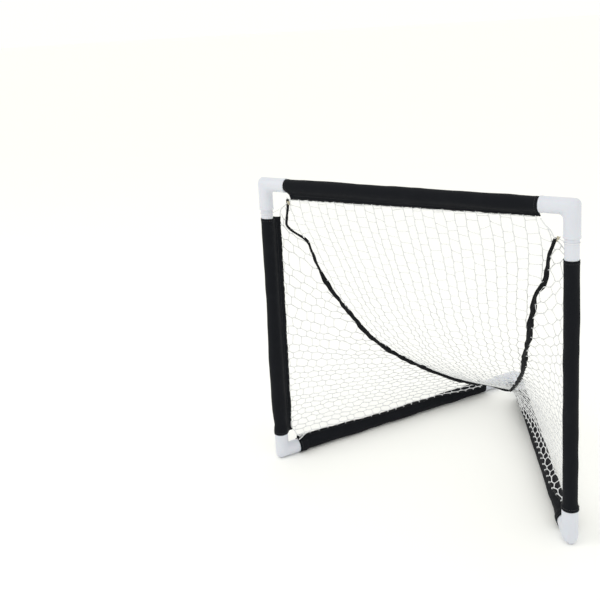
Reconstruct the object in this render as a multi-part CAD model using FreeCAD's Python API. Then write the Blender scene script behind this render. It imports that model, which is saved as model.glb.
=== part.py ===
"""A child's practice goal: plastic push-fit tube frame, fabric pole sleeves and a three-panel net.

Millimetres, +Z up. The mouth faces -Y, +X is the goal's right side as a shooter sees it, and the
two base bars run backwards from the mouth's lower corners and meet in one elbow at the rear.
The origin is on the floor, under the middle of the goal's outer box.
"""

import FreeCAD
import Part
import math
import os

V = FreeCAD.Vector

# Frame, between the tubes' centrelines
WIDTH = 630.0
HEIGHT = 600.0
DEPTH = 600.0

# Tube and elbows
TUBE_OD = 25.0
TUBE_WALL = 2.0
ELBOW_OD = 29.0
SOCKET_GAP = 0.05
ELBOW_LEG = 54.0
ELBOW_STOP = 18.0
REAR_LEG = 64.0
REAR_STOP = 30.0
PASSAGE_R = 10.0
RIM_ROUND = 0.8
CUT_OVERRUN = 1.0

# Pole sleeves
SLEEVE_WALL = 1.4
FLANGE_THICK = 2.0
FLANGE_LONG = 10.0
BASE_FLANGE_LONG = 8.0
CUFF_START = 46.0
BASE_CUFF_START = 39.0
CUFF_WALL = 1.05
CUFF_TAPER = 8.0
CUFF_LAP = 1.0
FLANGE_ROOT = 0.3
CROSSBAR_SLEEVE_START = 55.0
POST_SLEEVE_END_DROP = 80.5
BASE_SLEEVE_END = 569.0
FLOOR_CLEARANCE = 0.15

# Net, bindings and ties
NET_THICK = 1.6
BINDING_R = 3.0
BINDING_SPANS = 12
HEM_GAP = 0.5
TIE_R = 1.5
TIE_GAP = 0.2
TIE_DROP = 61.0
KNOT_R = 3.6

# Seam between the rear panel and the right side panel, from the top corner to the rear hem:
# poles of a smooth curve as (x, y behind the mouth, z above the base bars' centrelines)
SEAM_POLES = [
    (287.0, 5.0, 541.0),
    (270.0, 22.0, 505.0),
    (247.0, 62.0, 442.0),
    (222.0, 72.0, 380.0),
    (202.0, 121.0, 303.0),
    (170.0, 186.0, 212.0),
    (113.0, 303.0, 118.0),
    (66.0, 403.0, 58.0),
    (44.0, 461.0, 30.0),
]
# Where the rear panel's side edge meets the crossbar sleeve's flange
REAR_NET_TOP = (262.0, 1.0, 573.0)

# Outer edge of a side panel, down the post and back along the base bar:
# poles as (along the base bar, outwards from the side's plane, above the base bars' centrelines)
SIDE_EDGE_POLES = [
    (22.0, 0.0, 518.0),
    (22.0, 0.0, 380.0),
    (22.0, 0.0, 250.0),
    (22.0, 0.0, 120.0),
    (25.0, 12.0, 22.0),
    (70.0, 20.0, 2.0),
    (250.0, 20.0, 2.0),
    (440.0, 20.0, 4.0),
    (552.0, 18.0, 12.0),
]

TUBE_R = TUBE_OD / 2
ELBOW_R = ELBOW_OD / 2
CUFF_R = ELBOW_R + SOCKET_GAP + CUFF_WALL
BASE_Z = ELBOW_R
MOUTH_Y = -(DEPTH + ELBOW_R - CUFF_R) / 2
BASE_LENGTH = math.hypot(WIDTH / 2, DEPTH)
SAME_POINT = 0.01
UP = V(0, 0, 1)
SIDES = {"left": -1, "right": 1}


def place(x, y, z):
    """A point given from the mouth plane and the base bars' centrelines, in the part's frame."""
    return V(x, MOUTH_Y + y, BASE_Z + z)


def base_direction(side):
    """Unit vector along a base bar, from the mouth to the rear."""
    return V(-side * WIDTH / 2, DEPTH, 0) / BASE_LENGTH


def outward(side):
    """Unit vector square to a side's plane, away from the inside of the goal."""
    return V(side * DEPTH, WIDTH / 2, 0) / BASE_LENGTH


def rod(start, end, radius):
    """Solid cylinder between two points."""
    return Part.makeCylinder(radius, (end - start).Length, start, end - start)


def tube(start, end):
    """Hollow frame tube between two points."""
    run = (end - start).normalize()
    bore = rod(start - run, end + run, TUBE_R - TUBE_WALL)
    return rod(start, end, TUBE_R).cut(bore)


def elbow(corner, arm_a, arm_b, leg, stop):
    """Two-socket elbow: a ball corner, two legs and a bore stepped at each tube's stop."""
    angle = math.degrees(arm_a.getAngle(arm_b))
    arms = [V(1, 0, 0), V(math.cos(math.radians(angle)), math.sin(math.radians(angle)), 0)]
    legs = []
    bores = [Part.makeSphere(PASSAGE_R)]
    for arm in arms:
        leg_rod = rod(V(), arm * leg, ELBOW_R)
        rim = [edge for edge in leg_rod.Edges if (edge.CenterOfMass - arm * leg).Length < SAME_POINT]
        legs.append(leg_rod.makeFillet(RIM_ROUND, rim))
        bores.append(rod(V(), arm * (stop + CUT_OVERRUN), PASSAGE_R))
        bores.append(rod(arm * stop, arm * (leg + CUT_OVERRUN), TUBE_R + SOCKET_GAP))
    body = Part.makeSphere(ELBOW_R).fuse(legs)
    body = body.cut(bores)
    normal = arm_a.cross(arm_b).normalize()
    second = normal.cross(arm_a)
    body.Placement = FreeCAD.Placement(corner, FreeCAD.Rotation(arm_a, second, normal, "XYZ"))
    return body


def sleeve(origin, run, start, end, flange_side, flange_long, cuff_start=None):
    """Fabric tube round a pole from start to end along run, with a sewn flange standing out on
    flange_side. With cuff_start it also laps over the elbow's leg from there."""
    inner = TUBE_R + SOCKET_GAP
    outer = inner + SLEEVE_WALL
    flange_start = start
    if cuff_start is None:
        profile = [(inner, start), (inner, end), (outer, end), (outer, start)]
    else:
        cuff_inner = ELBOW_R + SOCKET_GAP
        cuff_end = ELBOW_LEG + SOCKET_GAP
        flange_start = cuff_end + CUFF_TAPER
        profile = [
            (cuff_inner, cuff_start),
            (cuff_inner, cuff_end),
            (inner, cuff_end),
            (inner, end),
            (outer, end),
            (outer, flange_start),
            (CUFF_R, cuff_end + CUFF_LAP),
            (CUFF_R, cuff_start),
        ]
    points = [origin + flange_side * r + run * s for r, s in profile]
    face = Part.Face(Part.makePolygon(points + points[:1]))
    body = face.revolve(origin, run, 360)
    if body.Volume < 0:
        body.reverse()
    across = run.cross(flange_side).normalize() * (FLANGE_THICK / 2)
    low = origin + run * flange_start + flange_side * (inner + FLANGE_ROOT)
    high = origin + run * flange_start + flange_side * (outer + flange_long)
    corners = [low - across, high - across, high + across, low + across]
    section = Part.Face(Part.makePolygon(corners + corners[:1]))
    body = body.fuse(section.extrude(run * (end - flange_start)))
    floor = Part.makeBox(2 * WIDTH, 2 * DEPTH, BASE_Z, V(-WIDTH, -DEPTH, FLOOR_CLEARANCE - BASE_Z))
    return body.cut(floor)


def smooth_edge(points):
    """Clamped cubic curve guided by its poles."""
    curve = Part.BSplineCurve()
    curve.buildFromPoles(points, False, 3)
    return curve.toShape()


def seam_points(side):
    return [place(side * x, y, z) for x, y, z in SEAM_POLES]


def rear_net():
    """Rear panel: level rulings between the two seams, hanging from the crossbar's flange."""
    edges = []
    for side in SIDES.values():
        top = place(side * REAR_NET_TOP[0], REAR_NET_TOP[1], REAR_NET_TOP[2])
        edges.append(smooth_edge([top] + seam_points(side)))
    lift = NET_THICK / math.sqrt(2)
    return solid_sheet(Part.makeRuledSurface(edges[0], edges[1]), V(0, lift, lift))


def side_net(side):
    """Side panel, stretched between the post, the base bar and the seam."""
    corner = place(side * WIDTH / 2, 0, 0)
    run, out = base_direction(side), outward(side)
    outer = smooth_edge([corner + run * u + out * n + UP * z for u, n, z in SIDE_EDGE_POLES])
    inner = smooth_edge(seam_points(side))
    return solid_sheet(Part.makeRuledSurface(outer, inner), out * NET_THICK)


def solid_sheet(face, thickness):
    """Closed solid swept from a face along the given thickness."""
    sheet = face.extrude(thickness)
    if sheet.ShapeType != "Solid":
        sheet = Part.Solid(sheet.Shells[0])
    if sheet.Volume < 0:
        sheet.reverse()
    return sheet


def rope(points, radius):
    """Rounded rod through the given points."""
    body = Part.makeSphere(radius, points[0])
    for a, b in zip(points, points[1:]):
        body = body.fuse([rod(a, b, radius), Part.makeSphere(radius, b)])
    return body


def seam_binding(side):
    """Tape folded over the joint between the rear panel and a side panel."""
    return rope(smooth_edge(seam_points(side)).discretize(BINDING_SPANS + 1), BINDING_R)


def hem_binding():
    """Tape along the rear panel's short lower edge."""
    x, y, z = SEAM_POLES[-1]
    inset = 2 * BINDING_R + HEM_GAP
    return rope([place(inset - x, y, z), place(x - inset, y, z)], BINDING_R)


def corner_tie(side):
    """Cord looped round a post just below its top elbow, knotted to the net's top corner.

    Made round the origin with its knot on +Y, then turned and moved to the post.
    """
    centre = place(side * WIDTH / 2, 0, HEIGHT - TIE_DROP)
    reach = seam_points(side)[0] - centre
    reach.z = 0
    foot = V(0, 0, -TIE_R)
    loop = Part.makeCylinder(TUBE_R + TIE_GAP + 2 * TIE_R, 2 * TIE_R, foot)
    loop = loop.cut(Part.makeCylinder(TUBE_R + TIE_GAP, 2 * TIE_R, foot))
    knot = V(0, TUBE_R + TIE_GAP + TIE_R + KNOT_R, 0)
    lead = rod(knot, V(0, reach.Length - BINDING_R, 0), TIE_R)
    body = loop.fuse([Part.makeSphere(KNOT_R, knot), lead])
    body.Placement = FreeCAD.Placement(centre, FreeCAD.Rotation(V(0, 1, 0), reach))
    return body


def frame_parts():
    """Tubes and elbows by node name."""
    parts = {}
    left_top, right_top = (place(s * WIDTH / 2, 0, HEIGHT) for s in (-1, 1))
    inset = V(ELBOW_STOP, 0, 0)
    parts["crossbar_tube"] = tube(left_top + inset, right_top - inset)
    for name, side in SIDES.items():
        foot = place(side * WIDTH / 2, 0, 0)
        head = place(side * WIDTH / 2, 0, HEIGHT)
        run = base_direction(side)
        parts[name + "_post_tube"] = tube(foot + UP * ELBOW_STOP, head - UP * ELBOW_STOP)
        parts[name + "_base_tube"] = tube(foot + run * ELBOW_STOP, foot + run * (BASE_LENGTH - REAR_STOP))
        parts["top_" + name + "_elbow"] = elbow(head, V(-side, 0, 0), -UP, ELBOW_LEG, ELBOW_STOP)
        parts["bottom_" + name + "_elbow"] = elbow(foot, run, UP, ELBOW_LEG, ELBOW_STOP)
    rear_arms = [-base_direction(side) for side in SIDES.values()]
    parts["rear_elbow"] = elbow(place(0, DEPTH, 0), rear_arms[0], rear_arms[1], REAR_LEG, REAR_STOP)
    return parts


def sleeve_parts():
    """Fabric pole sleeves by node name."""
    parts = {}
    left_top = place(-WIDTH / 2, 0, HEIGHT)
    parts["crossbar_sleeve"] = sleeve(
        left_top, V(1, 0, 0), CROSSBAR_SLEEVE_START, WIDTH - CROSSBAR_SLEEVE_START, -UP, FLANGE_LONG
    )
    for name, side in SIDES.items():
        foot = place(side * WIDTH / 2, 0, 0)
        run = base_direction(side)
        parts[name + "_post_sleeve"] = sleeve(
            foot, UP, CUFF_START, HEIGHT - POST_SLEEVE_END_DROP, run, FLANGE_LONG, CUFF_START
        )
        parts[name + "_base_sleeve"] = sleeve(
            foot, run, BASE_CUFF_START, BASE_SLEEVE_END, outward(side), BASE_FLANGE_LONG, BASE_CUFF_START
        )
    return parts


def net_parts():
    """Net panels, bindings and ties by node name."""
    parts = {"rear_net": rear_net(), "rear_hem_binding": hem_binding()}
    for name, side in SIDES.items():
        parts[name + "_net"] = side_net(side)
        parts[name + "_seam_binding"] = seam_binding(side)
        parts[name + "_corner_tie"] = corner_tie(side)
    return parts


os.makedirs("parts", exist_ok=True)
for name, shape in {**frame_parts(), **sleeve_parts(), **net_parts()}.items():
    print(f"{name:22s} valid {shape.isValid()} closed {shape.isClosed()} solids {len(shape.Solids)} "
          f"volume {shape.Volume / 1000:.2f} cm3")
    shape.exportStep(f"parts/{name}.step")
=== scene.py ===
import math

import bmesh
import bpy
import numpy as np
from mathutils import Matrix, Vector


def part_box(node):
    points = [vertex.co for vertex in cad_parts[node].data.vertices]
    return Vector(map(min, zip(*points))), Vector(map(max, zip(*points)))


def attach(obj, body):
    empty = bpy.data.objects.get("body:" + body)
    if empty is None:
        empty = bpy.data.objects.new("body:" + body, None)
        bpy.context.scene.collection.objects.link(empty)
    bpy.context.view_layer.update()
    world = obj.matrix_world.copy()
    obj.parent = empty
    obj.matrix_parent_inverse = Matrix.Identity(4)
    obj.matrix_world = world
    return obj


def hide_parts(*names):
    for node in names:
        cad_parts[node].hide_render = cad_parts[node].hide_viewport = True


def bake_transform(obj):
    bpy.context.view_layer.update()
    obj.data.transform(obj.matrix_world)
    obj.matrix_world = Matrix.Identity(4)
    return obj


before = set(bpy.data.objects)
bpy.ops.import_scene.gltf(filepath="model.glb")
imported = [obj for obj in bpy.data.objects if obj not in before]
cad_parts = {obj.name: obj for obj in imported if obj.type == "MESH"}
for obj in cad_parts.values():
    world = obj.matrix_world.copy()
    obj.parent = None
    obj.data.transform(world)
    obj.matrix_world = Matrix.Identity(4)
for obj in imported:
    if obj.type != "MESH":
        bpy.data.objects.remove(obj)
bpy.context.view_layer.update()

# A child's practice goal: push-fit plastic frame, fabric pole sleeves and a knotless net.
# Shapes are worked out in millimetres: x to the goal's right, y back from the mouth plane,
# z up from the base bars' centrelines. to_frame() takes them to the CAD's metres.


def middle(node):
    low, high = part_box(node)
    return (low + high) / 2


def span(node):
    low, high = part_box(node)
    return high - low


# Sizes read from the CAD
TUBE_R = span("crossbar_tube").y * 500
ELBOW_R = span("rear_elbow").z * 500
MOUTH_Y = middle("crossbar_tube").y
BASE_Z = middle("left_base_tube").z
HEIGHT = (middle("crossbar_tube").z - BASE_Z) * 1000
HALF_WIDTH = middle("right_post_tube").x * 1000
DEPTH = (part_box("rear_elbow")[1].y - MOUTH_Y) * 1000 - ELBOW_R
ELBOW_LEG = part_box("top_left_elbow")[1].x * 1000 + HALF_WIDTH
CROSSBAR_SLEEVE_HALF = span("crossbar_sleeve").x * 500
BASE_LENGTH = math.hypot(HALF_WIDTH, DEPTH)

FLOOR_Z = -ELBOW_R

# Sizes shared with the CAD source
REAR_LEG = 64.0
ELBOW_STOP = 18.0
REAR_STOP = 30.0
BASE_SLEEVE_START = 39.0
BASE_SLEEVE_END = 569.0
BASE_FLANGE_TIP = 21.95
TIE_DROP = 61.0

# The post sleeves have slid on their posts, so each has its own lower and upper end
POST_SLEEVE_ENDS = {"left": (42.0, 528.5), "right": (51.0, 509.0)}
# How far each post sleeve's flange reaches from the post's middle, at its lower and upper end
POST_FLANGE_TIPS = {"left": (27.0, 31.2), "right": (30.5, 30.5)}
# The net pulls the crossbar's flange lower at its left end than at its right one
CROSSBAR_FLANGE_TIPS = (28.5, 21.0)

SIDES = {"left": -1, "right": 1}
RIGHT, BACK, UP = np.eye(3)

# Seam between the rear panel and each side panel: (distance from the middle, y, z), top to hem
SEAM = {
    "left": [
        (262, 3, 563), (265, 5, 548), (273, 12, 529), (281, 23, 508), (270, 34, 492), (248, 45, 474),
        (245, 54, 452), (238, 65, 415), (226, 77, 377), (211, 97, 337), (196, 125, 294), (183, 157, 248),
        (161, 203, 198), (124, 278, 137), (95, 345, 92), (66, 404, 56), (44, 461, 30),
    ],
    "right": [
        (286, 6, 541), (274, 19, 517), (265, 33, 494), (258, 47, 468), (251, 56, 445), (229, 66, 409),
        (226, 72, 390), (216, 87, 354), (206, 113, 312), (188, 144, 265), (168, 191, 209), (146, 235, 170),
        (101, 332, 103), (66, 404, 56), (44, 461, 30),
    ],
}
# Where the rear panel's side edges meet the crossbar's flange
REAR_NET_TOP = (262, 1, 575)
HEM_Z = 30.0
# Where a side panel's rear corner is gathered on its base bar
REAR_GATHER_U = 555.0

# Net: radii of its strands and of the legs between them
THREAD_R = 0.9
LEG_R = 0.75
# From one strand of the rear panel to the next, and from one node to the next along it
STRAND_PITCH = 21.0
STRAND_STEP = 12.0
# From one node to the next along a strand of a side panel
ROW_STEP = 11.3
# Nearest that a side panel's threads come to a base bar's middle, over its sleeve and its cuff
SLEEVE_CLEAR_R = 14.4
CUFF_CLEAR_R = 16.3


def add_object(name, data):
    made = bpy.data.objects.new(name, data)
    bpy.context.scene.collection.objects.link(made)
    return made


# Camera

AZIMUTH = math.radians(34.73)
ELEVATION = math.radians(11.09)
ROLL = math.radians(-3.289)
CAMERA_DISTANCE = 1.6619
CAMERA_LENS = 49.46
CAMERA_SHIFT_Y = -0.1833
CAMERA_TARGET = (-0.2277, MOUTH_Y, BASE_Z + 0.5931)
SENSOR_WIDTH = 36


def add_camera():
    look_at = Vector(CAMERA_TARGET)
    back = Vector(
        (
            math.sin(AZIMUTH) * math.cos(ELEVATION),
            -math.cos(AZIMUTH) * math.cos(ELEVATION),
            math.sin(ELEVATION),
        )
    )
    right = Vector((math.cos(AZIMUTH), math.sin(AZIMUTH), 0))
    up = back.cross(right)
    side = right * math.cos(ROLL) + up * math.sin(ROLL)
    top = up * math.cos(ROLL) - right * math.sin(ROLL)
    data = bpy.data.cameras.new("camera")
    data.sensor_width = SENSOR_WIDTH
    data.lens = CAMERA_LENS
    data.shift_y = CAMERA_SHIFT_Y
    data.clip_start = 0.05
    camera = add_object("camera", data)
    turn = Matrix((side, top, back)).transposed().to_4x4()
    camera.matrix_world = Matrix.Translation(look_at + back * CAMERA_DISTANCE) @ turn
    bpy.context.scene.camera = camera


add_camera()


# Geometry helpers


def to_frame(points):
    return np.asarray(points, float) / 1000 + np.array((0, MOUTH_Y, BASE_Z))


def unit(vector):
    vector = np.asarray(vector, float)
    return vector / np.linalg.norm(vector, axis=-1, keepdims=True)


def joined(*axes):
    """Points from their separate coordinates."""
    return np.stack(np.broadcast_arrays(*axes), -1)


def distances(line):
    """Distance along a line of points (n, 3), from its start to each of them."""
    return np.concatenate(([0], np.cumsum(np.linalg.norm(np.diff(line, axis=0), axis=1))))


def lookup(where, known, values):
    """Values (n, axes) at the places in where, between the known places."""
    return joined(*[np.interp(where, known, column) for column in values.T])


def hermite(t, a, b, slope_a, slope_b, gap=1.0):
    """Point at share t of a smooth curve from a to b, whose slopes are per distance and whose
    length is gap."""
    return (
        (2 * t**3 - 3 * t**2 + 1) * a
        + (t**3 - 2 * t**2 + t) * gap * slope_a
        + (3 * t**2 - 2 * t**3) * b
        + (t**3 - t**2) * gap * slope_b
    )


def round_angles(count):
    """Evenly spaced angles all the way round a circle."""
    return np.linspace(0, 2 * math.pi, count, endpoint=False)


def polar(radius, angle):
    """Points of a plane from their distance and angle."""
    return joined(radius * np.cos(angle), radius * np.sin(angle))


def spin(one, two, angle):
    """Direction one turned by an angle towards direction two."""
    return one * np.cos(angle) + two * np.sin(angle)


def along(side):
    """Unit vector along a base bar, from the mouth to the rear."""
    return np.array((-side * HALF_WIDTH, DEPTH, 0)) / BASE_LENGTH


def outward(side):
    """Unit vector square to a side's plane, away from the inside of the goal."""
    return np.array((side * DEPTH, HALF_WIDTH, 0)) / BASE_LENGTH


def foot(side):
    return np.array((side * HALF_WIDTH, 0, 0))


def smoothstep(low, high, value):
    t = np.clip((np.asarray(value, float) - low) / (high - low), 0, 1)
    return t * t * (3 - 2 * t)


RIPPLE_WAVES = 14


def ripple(points, size, seed):
    """Smooth random field over points, roughly within -1 and 1, with features about size across."""
    rng = np.random.default_rng(seed)
    points = np.asarray(points, float)
    total = np.zeros(points.shape[:-1])
    for _ in range(RIPPLE_WAVES):
        direction = unit(rng.normal(size=points.shape[-1]))
        length = size * rng.uniform(1.4, 3.4)
        total += np.sin(points @ direction * (2 * math.pi / length) + rng.uniform(0, 2 * math.pi))
    return total / math.sqrt(RIPPLE_WAVES)


def ripple_line(s, size, seed):
    """The same, along one line of distances."""
    return ripple(np.asarray(s, float)[..., None], size, seed)


def smooth_line(points, step):
    """Evenly spaced points about step apart along a smooth curve through the given ones."""
    points = np.asarray(points, float)
    knots = distances(points)
    slopes = np.gradient(points, knots, axis=0)
    s = np.linspace(0, knots[-1], max(3, round(knots[-1] / step) + 1))
    cell = np.clip(np.searchsorted(knots, s, side="right") - 1, 0, len(knots) - 2)
    gap = (knots[cell + 1] - knots[cell])[:, None]
    t = (s - knots[cell])[:, None] / gap
    return hermite(t, points[cell], points[cell + 1], slopes[cell], slopes[cell + 1], gap)


def frames(points, guide):
    """Tangent and two square unit vectors at each point of a batch of lines (batch, n, 3)."""
    tangent = unit(np.gradient(points, axis=1))
    side = unit(np.cross(tangent, np.broadcast_to(guide, tangent.shape)))
    return tangent, side, np.cross(side, tangent)


def sweep(points, radius, guide, sides):
    """Rings round a batch of lines: points (batch, n, 3), radius (batch, n); guide is never
    parallel to a line."""
    _, side, other = frames(points, guide)
    ring = spin(side[:, :, None], other[:, :, None], round_angles(sides)[:, None])
    radius = np.broadcast_to(radius, points.shape[:2])
    return points[:, :, None] + ring * radius[:, :, None, None]


class Surface:
    """Tubes gathered into one smooth mesh, with texture coordinates in metres."""

    def __init__(self):
        self.points = []
        self.faces = []
        self.uvs = []
        self.count = 0

    def add(self, rings, loop=False):
        """Skins rings of points (batch, rows, columns, 3). Columns always close up, rows do
        with loop, and otherwise a face closes each end."""
        batch, rows, columns, _ = rings.shape
        index = self.count + np.arange(batch * rows * columns).reshape(batch, rows, columns)
        round_trip = np.concatenate((index, index[:, :, :1]), axis=2)
        closed = np.concatenate((rings, rings[:, :, :1]), axis=2)
        if loop:
            round_trip = np.concatenate((round_trip, round_trip[:, :1]), axis=1)
            closed = np.concatenate((closed, closed[:, :1]), axis=1)

        def metres(axis):
            """Distances along one way of the grid, averaged over the other."""
            steps = np.linalg.norm(np.diff(closed, axis=axis), axis=3).mean(axis=3 - axis)
            return np.concatenate((np.zeros((batch, 1)), np.cumsum(steps, axis=1)), axis=1) / 1000

        def corners(grid):
            return np.stack(
                (grid[:, :-1, :-1], grid[:, :-1, 1:], grid[:, 1:, 1:], grid[:, 1:, :-1]), axis=3
            )

        uv = joined(metres(2)[:, None], metres(1)[:, :, None])
        quads = corners(round_trip).reshape(-1, 4)
        self.faces.extend(quads.tolist())
        self.uvs.append(corners(uv).reshape(-1, 2))
        if not loop:
            for row in (0, -1):
                self.faces.extend(index[:, row].tolist())
                self.uvs.append(uv[:, row, :-1].reshape(-1, 2))
        self.points.append(rings.reshape(-1, 3))
        self.count += batch * rows * columns

    def tube(self, line, radius, guide, sides=6):
        """A round tube along one line of points."""
        line = np.asarray(line, float)[None]
        radius = np.broadcast_to(radius, line.shape[1])[None]
        self.add(sweep(line, radius, guide, sides))

    def make(self, name, material):
        """One piece from all that was added, kept above the floor."""
        mesh = bpy.data.meshes.new(name)
        points = np.concatenate(self.points)
        points[:, 2] = np.maximum(points[:, 2], FLOOR_Z)
        mesh.from_pydata(to_frame(points).tolist(), [], self.faces)
        layer = mesh.uv_layers.new(name="UVMap")
        layer.data.foreach_set("uv", np.concatenate(self.uvs).astype(np.float32).ravel())
        work = bmesh.new()
        work.from_mesh(mesh)
        bmesh.ops.recalc_face_normals(work, faces=work.faces)
        work.to_mesh(mesh)
        work.free()
        mesh.shade_smooth()
        mesh.materials.append(material)
        piece = add_object(name, mesh)
        return piece


# Materials


class Paint:
    """One material's nodes."""

    def __init__(self, name):
        self.material = bpy.data.materials.new(name)
        self.material.use_nodes = True
        self.tree = self.material.node_tree
        self.tree.nodes.clear()
        self.shader = self.tree.nodes.new("ShaderNodeBsdfPrincipled")
        output = self.tree.nodes.new("ShaderNodeOutputMaterial")
        self.tree.links.new(self.shader.outputs[0], output.inputs["Surface"])

    def node(self, kind, inputs=None, **settings):
        made = self.tree.nodes.new(kind)
        for key, value in settings.items():
            setattr(made, key, value)
        for key, value in (inputs or {}).items():
            self.feed(made.inputs[key], value)
        return made

    def feed(self, socket, value):
        if isinstance(value, bpy.types.NodeSocket):
            self.tree.links.new(value, socket)
        else:
            socket.default_value = value

    def set(self, **inputs):
        for key, value in inputs.items():
            self.feed(self.shader.inputs[key.replace("_", " ")], value)

    def math(self, operation, a, b=0.0):
        return self.node("ShaderNodeMath", {0: a, 1: b}, operation=operation).outputs[0]

    def plus(self, a, b, share):
        """a with a share of b added."""
        return self.math("ADD", a, self.math("MULTIPLY", b, share))

    def coordinates(self, kind):
        return self.node("ShaderNodeTexCoord").outputs[kind]

    def surface_metres(self):
        """Distances in metres round a tube and along it."""
        parts = self.node("ShaderNodeSeparateXYZ", {0: self.coordinates("UV")})
        return parts.outputs[0], parts.outputs[1]

    def noise(self, scale, detail, vector=None):
        """Noise over the piece itself, or over the given vector."""
        vector = vector or self.coordinates("Object")
        inputs = {"Vector": vector, "Scale": scale, "Detail": detail}
        return self.node("ShaderNodeTexNoise", inputs).outputs["Fac"]

    def between(self, fac, low, high, start=0.0, end=1.0):
        """A number that goes from low to high as fac goes from start to end."""
        inputs = {"Value": fac, "From Min": start, "From Max": end, "To Min": low, "To Max": high}
        return self.node("ShaderNodeMapRange", inputs).outputs["Result"]

    def mix(self, fac, a, b):
        """Colour between a and b, by the mix node's numbered colour sockets."""
        inputs = {0: fac, 6: (*a, 1) if isinstance(a, tuple) else a, 7: (*b, 1)}
        return self.node("ShaderNodeMix", inputs, data_type="RGBA").outputs[2]

    def wave(self, value, length):
        """Sine of a distance in metres, with the given wavelength."""
        return self.math("SINE", self.math("MULTIPLY", value, 2 * math.pi / length))

    def bump(self, height, distance, strength=0.8):
        inputs = {"Height": height, "Distance": distance, "Strength": strength}
        self.set(Normal=self.node("ShaderNodeBump", inputs).outputs[0])


def pvc_material():
    """White moulded and extruded plastic with faint handling scuffs."""
    paint = Paint("pvc_white")
    broad = paint.noise(13.0, 3.0)
    fine = paint.noise(1400.0, 2.0)
    stretched = {"Vector": paint.coordinates("Object"), "Scale": (55.0, 55.0, 420.0)}
    scuffs = paint.noise(1.0, 4.0, paint.node("ShaderNodeMapping", stretched).outputs[0])
    scuffed = paint.between(scuffs, 0.0, 0.35, 0.60, 0.74)
    cloud = paint.between(broad, 0.0, 1.0, 0.3, 0.7)
    clean = paint.mix(cloud, (0.615, 0.635, 0.70), (0.655, 0.675, 0.735))
    paint.set(Base_Color=paint.mix(scuffed, clean, (0.62, 0.63, 0.65)))
    paint.set(Roughness=paint.plus(paint.between(broad, 0.30, 0.40), scuffed, 0.4))
    paint.bump(paint.plus(fine, scuffs, 0.6), 0.00006, 0.5)
    paint.set(Subsurface_Weight=0.06, Subsurface_Scale=0.004)
    return paint.material


def cloth_material():
    """Black woven nylon: a plain weave of fine yarns, dusty in random patches."""
    paint = Paint("sleeve_black")
    warp, weft = [paint.wave(distance, 0.0012) for distance in paint.surface_metres()]
    weave = paint.between(paint.math("MULTIPLY", warp, weft), 0.0, 1.0, -1.0, 1.0)
    fibres = paint.noise(2600.0, 2.0, paint.coordinates("UV"))
    patches = paint.noise(26.0, 4.0)
    tone = paint.math("MULTIPLY", weave, paint.between(fibres, 0.5, 1.3))
    base = paint.mix(tone, (0.0028, 0.0034, 0.0052), (0.0080, 0.0092, 0.0125))
    dust = paint.between(patches, 0.0, 0.4, 0.55, 0.8)
    paint.set(Base_Color=paint.mix(dust, base, (0.012, 0.0135, 0.017)))
    paint.set(Roughness=paint.between(fibres, 0.68, 0.9))
    paint.set(Sheen_Weight=0.02, Sheen_Roughness=0.45, Specular_IOR_Level=0.12)
    paint.bump(paint.plus(weave, fibres, 0.5), 0.00016)
    return paint.material


def thread_material(name, dark, light, length, roughness):
    """Braided cord: two sets of yarns crossing as they wind round it."""
    paint = Paint(name)
    around, down = paint.surface_metres()
    one, two = [paint.wave(paint.plus(down, around, lean), length) for lean in (0.7, -0.7)]
    braid = paint.between(paint.math("MULTIPLY", one, two), 0.0, 1.0, -1.0, 1.0)
    soil = paint.noise(30.0, 4.0)
    fuzz = paint.noise(3200.0, 2.0)
    shade = paint.plus(paint.between(soil, 0.0, 0.5, 0.3, 0.7), braid, 0.5)
    paint.set(Base_Color=paint.mix(shade, dark, light))
    paint.set(Roughness=paint.between(fuzz, roughness - 0.08, roughness + 0.1))
    paint.set(Sheen_Weight=0.08)
    paint.bump(paint.plus(braid, fuzz, 0.4), 0.00018)
    return paint.material


def tape_material():
    """Black woven tape with ribs across it."""
    paint = Paint("binding_black")
    around, down = paint.surface_metres()
    ribs = paint.wave(down, 0.0016)
    yarns = paint.wave(around, 0.0009)
    weave = paint.between(paint.plus(ribs, yarns, 0.5), 0.0, 1.0, -1.5, 1.5)
    patches = paint.noise(45.0, 3.0)
    fuzz = paint.noise(2800.0, 2.0)
    base = paint.mix(weave, (0.0026, 0.0029, 0.0038), (0.0080, 0.0088, 0.0115))
    dust = paint.between(patches, 0.0, 0.4, 0.5, 0.8)
    paint.set(Base_Color=paint.mix(dust, base, (0.016, 0.017, 0.018)))
    paint.set(Roughness=paint.between(fuzz, 0.72, 0.92))
    paint.set(Sheen_Weight=0.03, Specular_IOR_Level=0.14)
    paint.bump(paint.plus(weave, fuzz, 0.4), 0.0002)
    return paint.material


def floor_material():
    """Plain white studio paper, with the faintest unevenness."""
    paint = Paint("studio_paper")
    soft = paint.noise(3.0, 2.0)
    paint.set(Base_Color=paint.mix(soft, (0.978, 0.978, 0.962), (0.986, 0.986, 0.970)))
    paint.set(Roughness=0.9, Specular_IOR_Level=0.1)
    return paint.material


PVC = pvc_material()
CLOTH = cloth_material()
NET = thread_material("net_white", (0.71, 0.72, 0.74), (0.86, 0.87, 0.88), 0.0022, 0.6)
TIE = thread_material("tie_cream", (0.50, 0.45, 0.33), (0.72, 0.67, 0.53), 0.0016, 0.7)
SEWING = thread_material("sewing_black", (0.008, 0.008, 0.009), (0.030, 0.031, 0.034), 0.0008, 0.5)
TAPE = tape_material()

for name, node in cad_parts.items():
    if name.endswith("_tube"):
        node.data.materials.clear()
        node.data.materials.append(PVC)


# Elbows

# The raised rim round each socket's mouth; one that a sleeve covers hardly stands out
RIM_LONG = 5.0
RIM_PROUD = 0.45
COVERED_RIM = 0.05
LIP_ROUND = 0.9
BORE_GAP = 0.25
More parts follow.
